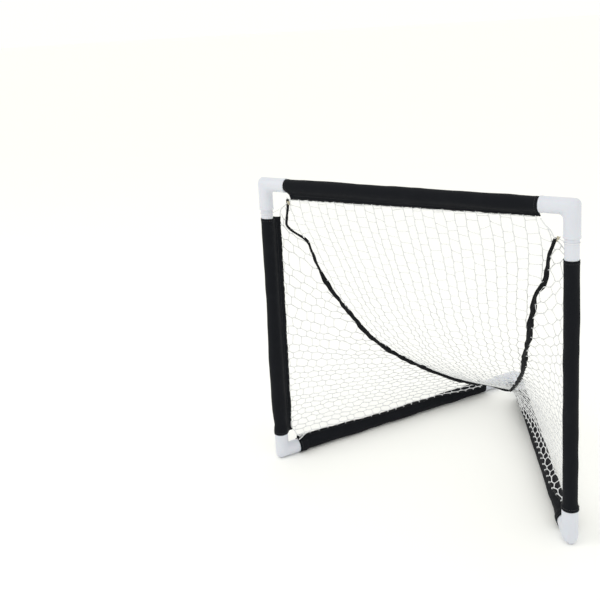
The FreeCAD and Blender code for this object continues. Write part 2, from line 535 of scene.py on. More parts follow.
# The mould's flash line: its height, and its width as a share of the elbow's radius
FLASH_HIGH = 0.10
FLASH_WIDE = 0.025
# Angle between the mould line and the columns beside it
SEAM_COLUMN = 0.03
# Radii of the bend on its inner and its outer side
CORNER_BENDS = (8.0, 10.0)
REAR_BENDS = (4.0, ELBOW_R)


def elbow_piece(node, body, corner, arm_a, arm_b, leg, stop, bends, proud):
    """Moulded two-socket elbow, swept along both legs and round the corner between them. bends
    are the bend's inner and outer radius, and proud is how far the rims stand out."""
    turn = math.pi - math.acos(float(np.dot(arm_a, arm_b)))
    bisector = unit(arm_a + arm_b)
    normal = unit(np.cross(arm_a, arm_b))
    away = [-unit(bisector - np.dot(bisector, arm) * arm) for arm in (arm_a, arm_b)]
    beside_seams = [seam + step for seam in (0, math.pi) for step in (-SEAM_COLUMN, SEAM_COLUMN)]
    angle = np.sort(np.concatenate((round_angles(48), beside_seams)))
    out = np.cos(angle)
    lift = np.sin(angle)
    upright = normal * (ELBOW_R * lift)[:, None]
    flash = FLASH_HIGH * np.exp(-((lift / FLASH_WIDE) ** 2))
    reach_out = ELBOW_R * out + flash * np.sign(out)
    knee = reach_out[:, None] * (away[0] + away[1]) / (1 + np.dot(away[0], away[1]))
    bend = bends[0] + (bends[1] - bends[0]) * smoothstep(-0.2, 1.0, out)
    reach = bend * math.tan(turn / 2)

    def leg_rows(arm, off):
        """Rows from deep in the bore, over the lip and along the leg to the bend."""
        bore = TUBE_R + BORE_GAP
        lip = leg - LIP_ROUND
        rim = ELBOW_R + proud
        rows = [
            (stop + 0.2, bore), (lip - 4, bore), (lip, bore), (leg - 0.25, bore + 0.25),
            (leg, bore + 0.8), (leg - 0.2, ELBOW_R - 0.15), (lip, rim), (leg - 2.6, rim),
            (leg - RIM_LONG + 0.6, rim), (leg - RIM_LONG - 0.2, ELBOW_R + proud * 0.2),
            (leg - RIM_LONG - 1.2, ELBOW_R),
        ]
        made = []
        for s, radius in rows:
            made.append(arm * s + off * (radius * out)[:, None] + normal * (radius * lift)[:, None])
        last = leg - RIM_LONG - 2
        start = knee @ arm + reach
        for share in np.linspace(0.0, 1.0, 10)[1:-1]:
            s = last + (start - last) * share
            made.append(s[:, None] * arm + off * reach_out[:, None] + upright)
        return made

    first = leg_rows(arm_a, away[0])
    second = leg_rows(arm_b, away[1])
    centre = knee + bisector * (bend / math.cos(turn / 2))[:, None]
    arc = []
    for share in np.linspace(0, 1, 13):
        radial = math.sin((1 - share) * turn) * away[0] + math.sin(share * turn) * away[1]
        radial = radial / math.sin(turn)
        arc.append(centre + bend[:, None] * radial + upright)
    rings = np.array(first + arc + second[::-1]) + corner
    surface = Surface()
    surface.add(rings[None])
    piece = surface.make(node + "_shell", PVC)
    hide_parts(node)
    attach(piece, body)


for name, side in SIDES.items():
    top = foot(side) + UP * HEIGHT
    inwards = np.array((-side, 0.0, 0.0))
    sizes = (ELBOW_LEG, ELBOW_STOP, CORNER_BENDS)
    elbow_piece(f"top_{name}_elbow", "crossbar_unit", top, inwards, -UP, *sizes, RIM_PROUD)
    elbow_piece(
        f"bottom_{name}_elbow", "base_frame", foot(side), along(side), UP, *sizes, COVERED_RIM
    )
sizes = (REAR_LEG, REAR_STOP, REAR_BENDS)
elbow_piece("rear_elbow", "base_frame", BACK * DEPTH, -along(-1), -along(1), *sizes, RIM_PROUD)


# Pole sleeves

CLOTH_THICK = 0.5
SLEEVE_R = 13.15
CUFF_R = 15.15
CUFF_TAPER = 9.0
FLANGE_HALF = 0.65
# Points of a cross section: bend from pole to flange, flat side of the flange, round the pole
SECTION_BEND = 6
SECTION_SIDE = 7
SECTION_ROUND = 36
# Columns of a section where the overlock thread's inner edge and the flange's root are
FACE_COLUMN = 4
ROOT_COLUMN = 1 + SECTION_SIDE
STATION_STEP = 2.6
HEM_LONG = 9.0
HEM_STITCH_ROW = 6.0
STITCH_PITCH = 3.8
STITCH_LONG = 2.5
STITCH_R = 0.38
STITCH_END_R = 0.16
OVERLOCK_PITCH = 3.2
OVERLOCK_STEP = 0.32
OVERLOCK_R = 0.36


def sleeve_section(radius, tip, half):
    """Cloth's cross section at each station: round the pole, then two layers side by side to
    the flange's tip. Returns (stations, columns, 2): towards the flange and across it."""
    long = tip - radius
    lean = np.radians(np.clip(10 + 3.0 * long, 12, 40))
    start = polar(radius, lean)
    bend_at = start[:, 0] + (start[:, 1] - half) * np.tan(lean)
    root_at = np.minimum(np.maximum(bend_at + 0.1, radius + 0.42 * long), tip - 0.15)
    root = joined(root_at, half)
    bend = joined(np.minimum(bend_at, root_at - 0.05), half)
    columns = [joined(tip, 0.0), joined(tip - 0.25, 0.75 * half)]
    for share in np.linspace(0, 1, SECTION_SIDE):
        columns.append(joined((tip - 0.6) + (root_at - tip + 0.6) * share, half))
    for share in np.linspace(0, 1, SECTION_BEND + 1)[1:]:
        curve = root * (1 - share) ** 2 + bend * 2 * share * (1 - share) + start * share**2
        columns.append(curve)
    for share in np.linspace(0, 1, SECTION_ROUND)[1:-1]:
        columns.append(polar(radius, lean + (2 * math.pi - 2 * lean) * share))
    mirrored = [column * (1, -1) for column in columns[1 : 2 + SECTION_SIDE + SECTION_BEND]]
    return np.stack(columns + mirrored[::-1], axis=1)


def stitches(surface, line, normal):
    """A row of short stitches lying on the cloth along a line of points, whose ends dip into
    it. normal points out of the cloth at each point."""
    s = distances(line)
    starts = np.arange(STITCH_PITCH, s[-1] - STITCH_PITCH, STITCH_PITCH)
    where = starts[:, None] + STITCH_LONG * np.array((0.0, 0.25, 0.75, 1.0))
    points, guide = lookup(where, s, line), lookup(where, s, normal)
    raised = np.array((-0.25, 0.18, 0.18, -0.25))[None, :, None]
    radius = np.array((STITCH_END_R, STITCH_R, STITCH_R, STITCH_END_R))
    surface.add(sweep(points + guide * raised, radius, guide, 5))


def base_flange_rise(side, u):
    """Angle in radians of a base sleeve's flange, from outwards up and over to inwards: the net
    draws it up at the front and in towards the seam further back."""
    if side < 0:
        degrees = 82 + 35 * smoothstep(0, 300, u) + 30 * smoothstep(400, 540, u)
    else:
        degrees = 84 + 36 * smoothstep(40, 140, u) + 25 * smoothstep(330, 500, u)
    return np.radians(degrees)


def base_flange_ways(side, u):
    """Unit vectors out of a base sleeve's flange and square to it, at distances u along the bar."""
    rise = base_flange_rise(side, np.asarray(u, float))[..., None]
    out = outward(side)
    return spin(out, UP, rise), spin(UP, -out, rise)


def sleeve_cloth(
    origin, run, flange_way, across_way, s, radius, tips, seed, cut, poke, slack, loose
):
    """Outer and inner sheet of a sleeve's cloth, each (stations, columns, 3)."""
    start, end = s[0], s[-1]
    edge = np.minimum(s - start, end - s)
    hem = 0.28 * (1 - smoothstep(HEM_LONG - 1, HEM_LONG, edge))
    hem = (hem - 0.20 * np.exp(-(((edge - HEM_LONG + 2) / 0.8) ** 2)))[:, None]
    outer = sleeve_section(radius, tips, FLANGE_HALF)
    level = np.broadcast_to(s[:, None], outer.shape[:2])
    step = np.gradient(outer, axis=1)
    square = unit(joined(step[..., 1], -step[..., 0]))
    square *= np.sign((square * outer).sum(-1).mean())
    # Folds and bags of the cloth on the pole, and puckers along the flange's seam
    angle = np.arctan2(outer[..., 1], outer[..., 0]) + level / 150
    around = np.concatenate((level[..., None] * 0.5, polar(SLEEVE_R, angle)), -1)
    folds = 0.34 * np.maximum(ripple(around, 11, seed + 3) + 0.2, 0)
    bags = slack * np.maximum(ripple(around, 20, seed + 4), 0)
    rise = outer[..., 0] - radius[:, None]
    share = np.clip(rise / (tips - radius)[:, None], 0, 1)
    near = np.exp(-((rise / 5) ** 2)) * (share > 0)
    pucker = 0.30 * near * np.maximum(ripple_line(level + 1.3 * outer[..., 1], 4.5, seed + 5), 0)
    push = (folds + bags) * (1 - share) ** 2 * (1 - 0.6 * (hem > 0)) + pucker * (1 - share)
    push = push + hem * (1 - 0.7 * share)
    far_side = np.clip(-outer[..., 0] / radius[:, None], 0, 1)
    push = push + loose[:, None] * smoothstep(0, 1, far_side)
    # Places along the pole: the flange's cut and drawn-out ends, and the ragged edge
    down = np.clip((outer[..., 0] + 2) / (tips[:, None] + 2), 0, 1)
    shift = cut * down * np.clip(1 - (level - start) / 45, 0, 1)
    shift = shift + poke * share * np.clip(1 - (end - level) / 20, 0, 1)
    uneven = ripple(around * (0, 1, 1), 18, seed + 6)
    distance = level + shift + 0.5 * uneven * (1 - smoothstep(0, 12, edge))[:, None]
    sway = 0.8 * ripple_line(s, 34, seed + 1) + 0.3 * ripple_line(s, 11, seed + 2)
    sheets = []
    for depth in (0.0, CLOTH_THICK):
        section = sleeve_section(radius - depth, tips - depth, FLANGE_HALF - depth)
        raised = np.maximum(push - 0.3 * hem, 0) if depth else push
        moved = section + square * raised[..., None]
        points = (
            origin
            + run * distance[..., None]
            + flange_way[:, None] * moved[..., :1]
            + across_way[:, None] * (moved[..., 1] + sway[:, None] * share**1.5)[..., None]
        )
        points[..., 2] = np.maximum(points[..., 2], FLOOR_Z + 0.1)
        sheets.append(points)
    return sheets


def overlock(surface, skin, flange_way, across_way, run):
    """Thread wound along a flange's edge, over its tip and both its faces."""
    rim = skin[:, 0]
    length = distances(rim)
    turns = np.arange(0, length[-1], OVERLOCK_STEP)
    phase = turns[:, None] * (2 * math.pi / OVERLOCK_PITCH)
    inner = lookup(turns, length, (skin[:, FACE_COLUMN] + skin[:, -FACE_COLUMN]) / 2)
    outer = lookup(turns, length, rim)
    half_long = np.linalg.norm(outer - inner, axis=1, keepdims=True) * 0.45 + 0.35
    line = inner + (outer - inner) * 0.55
    line = line + lookup(turns, length, flange_way) * half_long * np.cos(phase)
    line = line + lookup(turns, length, across_way) * (FLANGE_HALF + 0.22) * np.sin(phase)
    surface.tube(line, OVERLOCK_R, run, 4)


def sleeve_piece(
    node, body, origin, run, flange, ends, tip, seed,
    cuff=False, cut=0.0, poke=0.0, slack=0.5, rise=None, belly=None,
):
    """Fabric tube round a pole, sewn into a flange along one side and hemmed at both ends.

    ends and tip give the two ends' places and flange heights. cut slants the flange's first end
    and poke draws out its last one. rise(s) turns the flange towards the across direction, and
    belly(s) is the loose cloth standing off the pole's far side."""
    start, end = ends
    stations = max(20, round((end - start) / STATION_STEP))
    s = np.linspace(start, end, stations)
    tips = np.linspace(*tip, stations)
    radius = np.full_like(s, SLEEVE_R)
    if cuff:
        radius += (CUFF_R - SLEEVE_R) * (1 - smoothstep(ELBOW_LEG, ELBOW_LEG + CUFF_TAPER, s))
        tips = np.maximum(tips, radius + 2 * FLANGE_HALF)
    tips = tips + 0.35 * ripple_line(s, 9, seed) * smoothstep(2, 8, tips - radius)
    turned = np.zeros_like(s) if rise is None else rise(s)
    loose = np.zeros_like(s) if belly is None else belly(s)
    across = np.cross(run, flange)
    upright = across if abs(across[2]) < 0.5 else across * np.sign(across[2])
    flange_way = spin(flange, upright, turned[:, None])
    across_way = np.cross(run, flange_way)
    skin, lining = sleeve_cloth(
        origin, run, flange_way, across_way, s, radius, tips, seed, cut, poke, slack, loose
    )
    surface = Surface()
    surface.add(np.concatenate((skin, lining[::-1]))[None], loop=True)
    piece = surface.make(node + "_cloth", CLOTH)

    thread = Surface()
    columns = skin.shape[1]
    sewn = smoothstep(2, 5, tips - radius) > 0.5
    for column, facing in ((ROOT_COLUMN, 1), (columns - ROOT_COLUMN, -1)):
        stitches(thread, skin[sewn][3:-3, column], across_way[sewn][3:-3] * facing)
    hem_row = round(HEM_STITCH_ROW / STATION_STEP)
    for row in (hem_row, -1 - hem_row):
        ring = skin[row, ROOT_COLUMN : columns - ROOT_COLUMN]
        spoke = ring - ring.mean(axis=0)
        stitches(thread, ring, unit(spoke - (spoke @ run)[:, None] * run))
    edged = tips - radius > 5
    overlock(thread, skin[edged], flange_way[edged], across_way[edged], run)
    sewing = thread.make(node + "_sewing", SEWING)
    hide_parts(node)
    for made in (piece, sewing):
        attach(made, body)


BELLY = 3.6


def left_post_belly(s):
    """Loose cloth on the left post's outer side, low down."""
    return BELLY * smoothstep(ELBOW_LEG, ELBOW_LEG + 50, s) * (1 - smoothstep(200, 360, s))


sleeve_piece(
    "crossbar_sleeve", "crossbar_unit", UP * HEIGHT, RIGHT, -UP,
    (-CROSSBAR_SLEEVE_HALF - 2, CROSSBAR_SLEEVE_HALF), CROSSBAR_FLANGE_TIPS, 11,
    cut=11.0, poke=2.5, slack=0.8,
)
for name, side in SIDES.items():
    sleeve_piece(
        f"{name}_post_sleeve", "base_frame", foot(side), UP, along(side),
        POST_SLEEVE_ENDS[name], POST_FLANGE_TIPS[name], 31 + side,
        cuff=True, poke=-2.5, belly=left_post_belly if side < 0 else None,
    )
    sleeve_piece(
        f"{name}_base_sleeve", "base_frame", foot(side), along(side), outward(side),
        (BASE_SLEEVE_START, BASE_SLEEVE_END), (BASE_FLANGE_TIP, BASE_FLANGE_TIP), 51 + side,
        cuff=True, slack=1.1, rise=lambda s, side=side: base_flange_rise(side, s),
    )


# Net panels


SEAM_LINE = {
    name: smooth_line([(side * x, y, z) for x, y, z in SEAM[name]], 3.0)
    for name, side in SIDES.items()
}
BISECTIONS = 12
# Share of the way to its balanced place that a node moves in one round
SETTLE_STEP = 0.8
# Points along a strand from one node to the next, and along a leg
STRAND_CUTS = 4
LEG_CUTS = 5
SHORTEST_LEG = 1.2


def by_height(line, z):
    """The point of a line that falls all the way, at height z."""
    return lookup(z, line[::-1, 2], line[::-1])


class Net:
    """Strands and the short legs between them, cut to a panel's outline and pinned there."""

    def __init__(self, position, inside, surface, runs, steps):
        self.position, self.inside, self.surface = position, inside, surface
        self.points, self.pinned = [], []
        self.strands, self.legs = [], []
        spots = {}
        for r in range(runs):
            for j in range(-1, steps + 1):
                at = position(r, j)
                if inside(at):
                    spots[r, j] = self.add(at, False)
        for r in range(runs):
            strand = []
            for j in range(-1, steps + 1):
                here, there = spots.get((r, j)), spots.get((r, j + 1))
                if here is not None and not strand:
                    strand = [self.edge((r, j), (r, j - 1))] if j > -1 else []
                if here is not None:
                    strand.append(here)
                if here is not None and there is None:
                    strand.append(self.edge((r, j), (r, j + 1)))
                    self.strands.append(strand)
                    strand = []
                if (r + j) % 2 == 0:
                    beside = spots.get((r + 1, j))
                    if here is not None and beside is not None:
                        self.legs.append((here, beside))
                    elif here is not None:
                        self.legs.append((here, self.edge((r, j), (r + 1, j))))
                    elif beside is not None:
                        self.legs.append((self.edge((r + 1, j), (r, j)), beside))
        self.points = np.array(self.points)
        self.pinned = np.array(self.pinned)

    def add(self, at, pinned):
        self.points.append(self.surface(at))
        self.pinned.append(pinned)
        return len(self.points) - 1

    def edge(self, within, beyond):
        """Pinned node where the thread from one spot to the next leaves the panel."""
        a, b = self.position(*within), self.position(*beyond)
        for _ in range(BISECTIONS):
            half = (a + b) / 2
            if self.inside(half):
                a = half
            else:
                b = half
        return self.add(a, True)

    def settle(self, seed, rounds, leg_pull, load, obstacle=None):
        """Moves each free node towards the pull of its threads, which differ a little.
        leg_pull is a leg's pull at a height where a strand's is 1, and load pushes each node."""
        rng = np.random.default_rng(seed)
        pairs = [(a, b) for strand in self.strands for a, b in zip(strand, strand[1:])]
        of_legs = np.arange(len(pairs) + len(self.legs)) >= len(pairs)
        one, two = np.array(pairs + self.legs).T
        height = (self.points[one, 2] + self.points[two, 2]) / 2
        length = np.linalg.norm(self.points[two] - self.points[one], axis=1)
        for group in (of_legs, ~of_legs):
            length[group] /= length[group].mean()
        pull = np.where(of_legs, leg_pull(height), 1.0) / np.clip(length, 0.3, 2.5)
        pull = pull * rng.uniform(0.55, 1.6, len(pull))
        free = ~self.pinned
        count = len(self.points)
        total = np.bincount(one, pull, count) + np.bincount(two, pull, count)
        for _ in range(rounds):
            drawn = [
                np.bincount(one, pull * column[two], count)
                + np.bincount(two, pull * column[one], count)
                for column in self.points.T
            ]
            target = joined(*drawn) / total[:, None] + load
            self.points[free] += SETTLE_STEP * (target - self.points)[free]
            if obstacle is not None:
                self.points[free] = obstacle(self.points[free])

    def knit(self, surface, guide, leg_guide, seed, leg_radius=LEG_R):
        """Adds the threads' tubes: strands run on through the joints, legs end in them."""
        rng = np.random.default_rng(seed)
        for strand in self.strands:
            nodes = self.points[strand]
            if len(nodes) < 2:
                continue
            slopes = np.gradient(nodes, axis=0)
            t = (np.arange(STRAND_CUTS) / STRAND_CUTS)[None, :, None]
            each = [values[:, None] for values in (nodes[:-1], nodes[1:], slopes[:-1], slopes[1:])]
            line = np.concatenate((hermite(t, *each).reshape(-1, 3), nodes[-1:]))
            radius = THREAD_R * (1 + 0.06 * rng.normal(size=len(line)))
            radius[::STRAND_CUTS] *= 1.45
            surface.tube(line, radius, guide)
        legs = np.array(self.legs)
        a, b = self.points[legs[:, 0]], self.points[legs[:, 1]]
        keep = np.linalg.norm(b - a, axis=1) > SHORTEST_LEG
        a, b = a[keep], b[keep]
        t = np.linspace(0, 1, LEG_CUTS)[None, :, None]
        bow = 0.5 * rng.normal(size=(len(a), 1, 3)) * 4 * t * (1 - t)
        line = a[:, None] * (1 - t) + b[:, None] * t + bow
        radius = leg_radius * np.array((1.3, 0.95, 0.9, 0.95, 1.3))[None]
        surface.add(sweep(line, radius, leg_guide, 6))


def loops(surface, centres, one, two, radius):
    """Small closed rings of thread, one round each centre."""
    one, two = np.broadcast_to(one, centres.shape), np.broadcast_to(two, centres.shape)
    ring = centres[:, None] + spin(one[:, None], two[:, None], round_angles(12)[:, None])
    axis = unit(np.cross(one, two))[:, None]
    tangent = unit(np.roll(ring, -1, axis=1) - np.roll(ring, 1, axis=1))
    side = np.cross(tangent, axis)
    around = spin(side[:, :, None], axis[:, :, None], round_angles(6)[:, None])
    surface.add(ring[:, :, None] + radius * around, loop=True)


def replace_with_blend(piece, node):
    """Hides the CAD part that the piece stands in for, and bakes the piece's place into its mesh."""
    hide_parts(node)
    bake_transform(piece)


# Rear panel: x across, and the distance down the panel's profile

profile_z = np.linspace(REAR_NET_TOP[2], HEM_Z, 200)
open_edge = {
    name: np.concatenate(([(SIDES[name] * REAR_NET_TOP[0], *REAR_NET_TOP[1:])], SEAM_LINE[name]))
    for name in SIDES
}
profile_y = sum(by_height(open_edge[name], profile_z)[:, 1] for name in SIDES) / 2
profile_s = distances(joined(profile_y, profile_z))
REAR_LONG = profile_s[-1]


def crossbar_edge(x):
    """Height of the lower edge of the crossbar sleeve's flange."""
    return HEIGHT - np.interp(x, (-CROSSBAR_SLEEVE_HALF, CROSSBAR_SLEEVE_HALF), CROSSBAR_FLANGE_TIPS)


def rear_z(down):
    return np.interp(down, profile_s, profile_z)


def rear_half(z):
    left, right = (by_height(open_edge[name], z)[..., 0] for name in SIDES)
    return left, right


# How far the rear panel's middle hangs, and the way it does
REAR_SAG = 10
SAG_WAY = np.array((0, 0.7, -0.3))
# Depth over which the panel's top edge takes up the slant of the crossbar's flange
SLANT_DEPTH = 14


def rear_surface(at):
    x, down = at
    z = rear_z(down)
    left, right = (by_height(open_edge[name], z) for name in SIDES)
    share = (x - left[0]) / (right[0] - left[0])
    sag = REAR_SAG * math.sin(math.pi * np.clip(share, 0, 1)) * math.sin(math.pi * down / REAR_LONG)
    point = left + (right - left) * share
    slant = (crossbar_edge(x) - REAR_NET_TOP[2]) * (1 - smoothstep(0, SLANT_DEPTH, down))
    return point + SAG_WAY * sag + UP * slant


def rear_inside(at):
    x, down = at
    if not 0 < down < REAR_LONG:
        return False
    left, right = rear_half(rear_z(down))
    return left < x < right


REAR_RUNS = 2 * round(REAR_NET_TOP[0] / STRAND_PITCH) + 3
REAR_STEPS = math.ceil(REAR_LONG / STRAND_STEP) + 1
REAR_SCATTER = np.random.default_rng(5).normal(0, 1.6, REAR_RUNS + 2)


def rear_position(r, j):
    down = (j + 0.5) * STRAND_STEP
    left, right = rear_half(rear_z(np.clip(down, 0, REAR_LONG)))
    close = ((right - left) / (2 * REAR_NET_TOP[0])) ** 0.6
    lean = 1 if (r + j) % 2 == 0 else -1
    x = (r - (REAR_RUNS - 1) / 2) * STRAND_PITCH * close + REAR_SCATTER[r]
    sway = 0.7 + 2.3 * float(smoothstep(100, 420, down))
    return np.array((x + lean * sway * close, down))


rear = Net(rear_position, rear_inside, rear_surface, REAR_RUNS, REAR_STEPS)
rear.settle(7, 30, lambda z: 0.5 - 0.38 * smoothstep(150, 480, z), UP * -0.12)
threads = Surface()
rear.knit(threads, RIGHT, UP, 9, 0.6)
for name in SIDES:
    line = smooth_line(np.concatenate((open_edge[name][:1], SEAM_LINE[name][:1])), 4)
    line = line + 0.5 * ripple_line(np.arange(len(line)), 3, 4)[:, None]
    threads.tube(line, 1.25, np.array((0.2, 1.0, 0.1)))
replace_with_blend(threads.make("rear_net_threads", NET), "rear_net")

top_pins = rear.points[rear.pinned & (rear.points[:, 2] > REAR_NET_TOP[2] - 6)]
top_pins = top_pins[np.argsort(top_pins[:, 0])]
lacing = Surface()
centres = top_pins * (1, 0, 0) + UP * (crossbar_edge(top_pins[:, 0]) - 0.4)[:, None]
loops(lacing, centres, UP * 1.6, BACK * 1.3, 0.75)
x = np.linspace(top_pins[0, 0], top_pins[-1, 0], 240)
sag = 0.9 * np.sin(math.pi * np.interp(x, top_pins[:, 0], np.arange(len(top_pins)))) ** 2
head = joined(x, 0.4 * ripple_line(x, 12, 6), crossbar_edge(x) - 1.1 - sag)
lacing.tube(head, 0.8, BACK)
lacing_piece = lacing.make("crossbar_lacing", NET)
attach(lacing_piece, "crossbar_unit")


# Side panels: distance back from the front edge, and distance up from the base flange's edge

BASE_EDGE_R = BASE_FLANGE_TIP - 0.6
NET_IN_FLANGE = 1.2
# Where a side panel's front corner is: along the base bar, and up the post
CORNER_U = 43.0
CORNER_Z = 48.0
SIDE_ROWS_FROM = 2.5
SIDE_STEPS = 60
SIDE_THREAD_R = 1.1
# How hard each side panel's slack hangs outwards
SIDE_LOAD = {"left": 0.30, "right": 0.46}
# The share of it that is gone at the rear, and the distances along the bar between which it goes
SLACK_FADE = 0.7
SLACK_FADE_SPAN = (330, 480)


def row_pitch(height):
    """Distance from one strand of a side panel up to the next, at the post."""
    return 12.0 + 13.0 * float(smoothstep(60, 330, height))


def local_axes(points, side):
    """Distances of points along a base bar, outwards from its side's plane, and up."""
    local = points - foot(side)
    return local @ along(side), local @ outward(side), local[:, 2]


def clear_of_sleeve(points, side):
    """Moves points that are inside the base sleeve out to its surface."""
    u, n, z = local_axes(points, side)
    keep = CUFF_CLEAR_R + (SLEEVE_CLEAR_R - CUFF_CLEAR_R) * smoothstep(56, 68, u)
    gone = np.hypot(n, z)
    grow = np.where((gone < keep) & (u > 0), keep / np.maximum(gone, 0.1), 1.0)
    out = outward(side) * (n * grow)[:, None]
    return foot(side) + along(side) * u[:, None] + out + UP * (z * grow)[:, None]


def side_panel(name):
    side = SIDES[name]
    run, out = along(side), outward(side)

    def place(u, n, z):
        return foot(side) + run * u + out * n + UP * z

    def base_edge(u):
        """Place of the panel's lower edge, on the tip of the base sleeve's flange."""
        return np.append(u, polar(BASE_EDGE_R, base_flange_rise(side, u)))

    far_line = joined(*local_axes(SEAM_LINE[name], side))
    low_far = base_edge(REAR_GATHER_U)
    low_near = base_edge(CORNER_U)
    far_line = np.concatenate((far_line, [low_far]))
    far_up = far_line[:, 2] - low_far[2]
    low, high = POST_SLEEVE_ENDS[name]
    low_tip, high_tip = (tip - NET_IN_FLANGE for tip in POST_FLANGE_TIPS[name])
    post_top = (high_tip, 0.0, high - 2)
    near_line = np.array([far_line[0], post_top, (low_tip, 0, CORNER_Z), low_near])
    near_up = near_line[:, 2] - low_near[2]
    near_up[0] = far_up[0]

    def ends(up):
        """Front and rear end of the panel's line at a distance up it."""
        edges = ((near_up, near_line), (far_up, far_line))
        return [lookup(up, steps[::-1], line[::-1]) for steps, line in edges]

    def surface(at):
        a, b = ends(at[1])
        spot = a + (b - a) * at[0] / max(np.hypot(*(b - a)[:2]), 0.01)
        low = low_near + (low_far - low_near) * (spot[0] - CORNER_U) / (REAR_GATHER_U - CORNER_U)
        edge = base_edge(np.clip(spot[0], CORNER_U, REAR_GATHER_U))
        bend = math.exp(-at[1] / 60) * (edge - low) * (0, 1, 1)
        return place(*(spot + bend))

    def inside(at):
        if not 0 < at[1] < far_up[0] or at[0] < 0:
            return False
        a, b = ends(at[1])
        return at[0] < np.hypot(*(b - a)[:2])

    starts = [SIDE_ROWS_FROM - row_pitch(0), SIDE_ROWS_FROM]
    while starts[-1] < far_up[0] + 330:
        starts.append(starts[-1] + row_pitch(starts[-1]))
    scatter = np.random.default_rng(60 + side).normal(0, 1, len(starts) + 1)

    def position(r, j):
        height = starts[min(r, len(starts) - 1)]
        pitch = row_pitch(height)
        slope = 0.6 * float(np.clip(height / 420, 0, 1)) ** 1.6
        lean = 1 if (r + j) % 2 == 0 else -1
        back = (j + 0.5) * ROW_STEP
        return np.array((back, height - slope * back + (lean * 0.13 + scatter[r] * 0.06) * pitch))

    net = Net(position, inside, surface, len(starts) - 1, SIDE_STEPS)
    net.points = clear_of_sleeve(net.points, side)
    fade = SLACK_FADE * smoothstep(*SLACK_FADE_SPAN, local_axes(net.points, side)[0])
    load = (SIDE_LOAD[name] * (1 - fade))[:, None] * out - UP * 0.10
    net.settle(70 + side, 60, lambda z: 0.6, load, lambda points: clear_of_sleeve(points, side))
    threads = Surface()
    net.knit(threads, out, run * 0.8 + out * 0.6, 80 + side)
    corner = [
        (low_tip, 0.0, CORNER_Z + 14), (low_tip, 0.2, CORNER_Z), (33.0, 1.0, CORNER_Z - 11),
        low_near, base_edge(60.0),
    ]
    line = smooth_line([place(*spot) for spot in corner], 3)
    threads.tube(clear_of_sleeve(line, side), SIDE_THREAD_R, out)
    shoulder = [post_top, (high_tip - 1.5, -6, high + 9), far_line[0]]
    line = smooth_line([place(*spot) for spot in shoulder], 4)
    threads.tube(line, SIDE_THREAD_R, run)
    replace_with_blend(threads.make(f"{name}_net_threads", NET), f"{name}_net")

    lacing = Surface()
    u, n, z = local_axes(net.points[net.pinned], side)
    tips = np.interp(z, POST_SLEEVE_ENDS[name], POST_FLANGE_TIPS[name])
    post = (np.abs(u - tips + NET_IN_FLANGE) < 0.8) & (z > low + 4) & (z < high - 4)
    centres = foot(side) + run * (tips[post][:, None] - 0.2) + UP * z[post][:, None]
    loops(lacing, centres, run * 1.5, out * 1.25, 0.7)
    on_base = (np.hypot(n, z) < BASE_EDGE_R + 0.8) & (u > CORNER_U + 8) & (u < BASE_SLEEVE_END - 8)

    def lace_flange(where, depth, over, across, radius):
        """Loops of thread round the base sleeve's flange, with their middles below its tip."""
        off, square = base_flange_ways(side, where)
        centres = foot(side) + run * where[:, None] + off * (BASE_FLANGE_TIP - depth)
        loops(lacing, centres, off * over, square * across, radius)

    lace_flange(u[on_base], 0.4, 1.7, 1.25, 0.75)
    lace_flange(CORNER_U + np.array((2.0, 5.0)), 2.8, 3.6, 1.7, 0.8)
    # A cord that holds the flange's front end: distance along the bar, from its middle, angle
    stay = []
    for u, r, degrees in ((39.5, 16.8, 109), (46, 18.4, 104), (54, 21.6, 96), (63, 22.6, 88)):
        stay.append(foot(side) + run * u + spin(out, UP, math.radians(degrees)) * r)
    lacing.tube(smooth_line(stay, 1.5), 1.05, out * 0.4 + UP)
    lacing_piece = lacing.make(f"{name}_lacing", NET)
    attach(lacing_piece, "base_frame")


for name in SIDES:
    side_panel(name)


# Bindings

TAPE_STEP = 2.5
TAPE_SIDES = 20
# Below 1, the tape's cross section is an oval with squarer corners
TAPE_SQUARE = 0.55
# How far a seam's stitches are from the middle of the tape, as a share of half its width
TAPE_STITCH = 0.45


def tape(surface, line, facing, seed, wide, thick):
    """Tape folded over the net's edges along a line; facing is the way its width lies and wide
    is that width along the line."""
    _, side, width = (each[0] for each in frames(line[None], facing))
    s = distances(line)
    twist = (0.42 * ripple_line(s, 45, seed) + 0.06 * ripple_line(s, 14, seed + 1))[:, None]
    width, side = spin(width, side, twist), spin(side, -width, twist)
    half_wide = wide(s) / 2 * (1 + 0.14 * ripple_line(s, 28, seed + 2))
    half_thick = thick / 2 * (1 + 0.12 * ripple_line(s, 20, seed + 3))
    angle = round_angles(TAPE_SIDES)
    oval = [np.sign(each) * np.abs(each) ** TAPE_SQUARE for each in (np.cos(angle), np.sin(angle))]
    rings = (
        line[:, None]
        + width[:, None] * (half_wide[:, None] * oval[0])[..., None]
        + side[:, None] * (half_thick[:, None] * oval[1])[..., None]
    )
    surface.add(rings[None])
    for sign in (1, -1):
        edge = line + width * (half_wide * TAPE_STITCH)[:, None]
        edge = edge + side * (sign * half_thick)[:, None]
        stitches(surface, edge, side * sign)


SEAM_TAPE_WIDE = {
    "left": lambda s: 5.0 + 5.0 * smoothstep(90, 260, s),
    "right": lambda s: 6.6 + 5.6 * smoothstep(10, 160, s),
}
# The way the width of a tape lies where the net's weight turns it upright
TAPE_UPRIGHT = np.array((0, 0.43, 0.9))
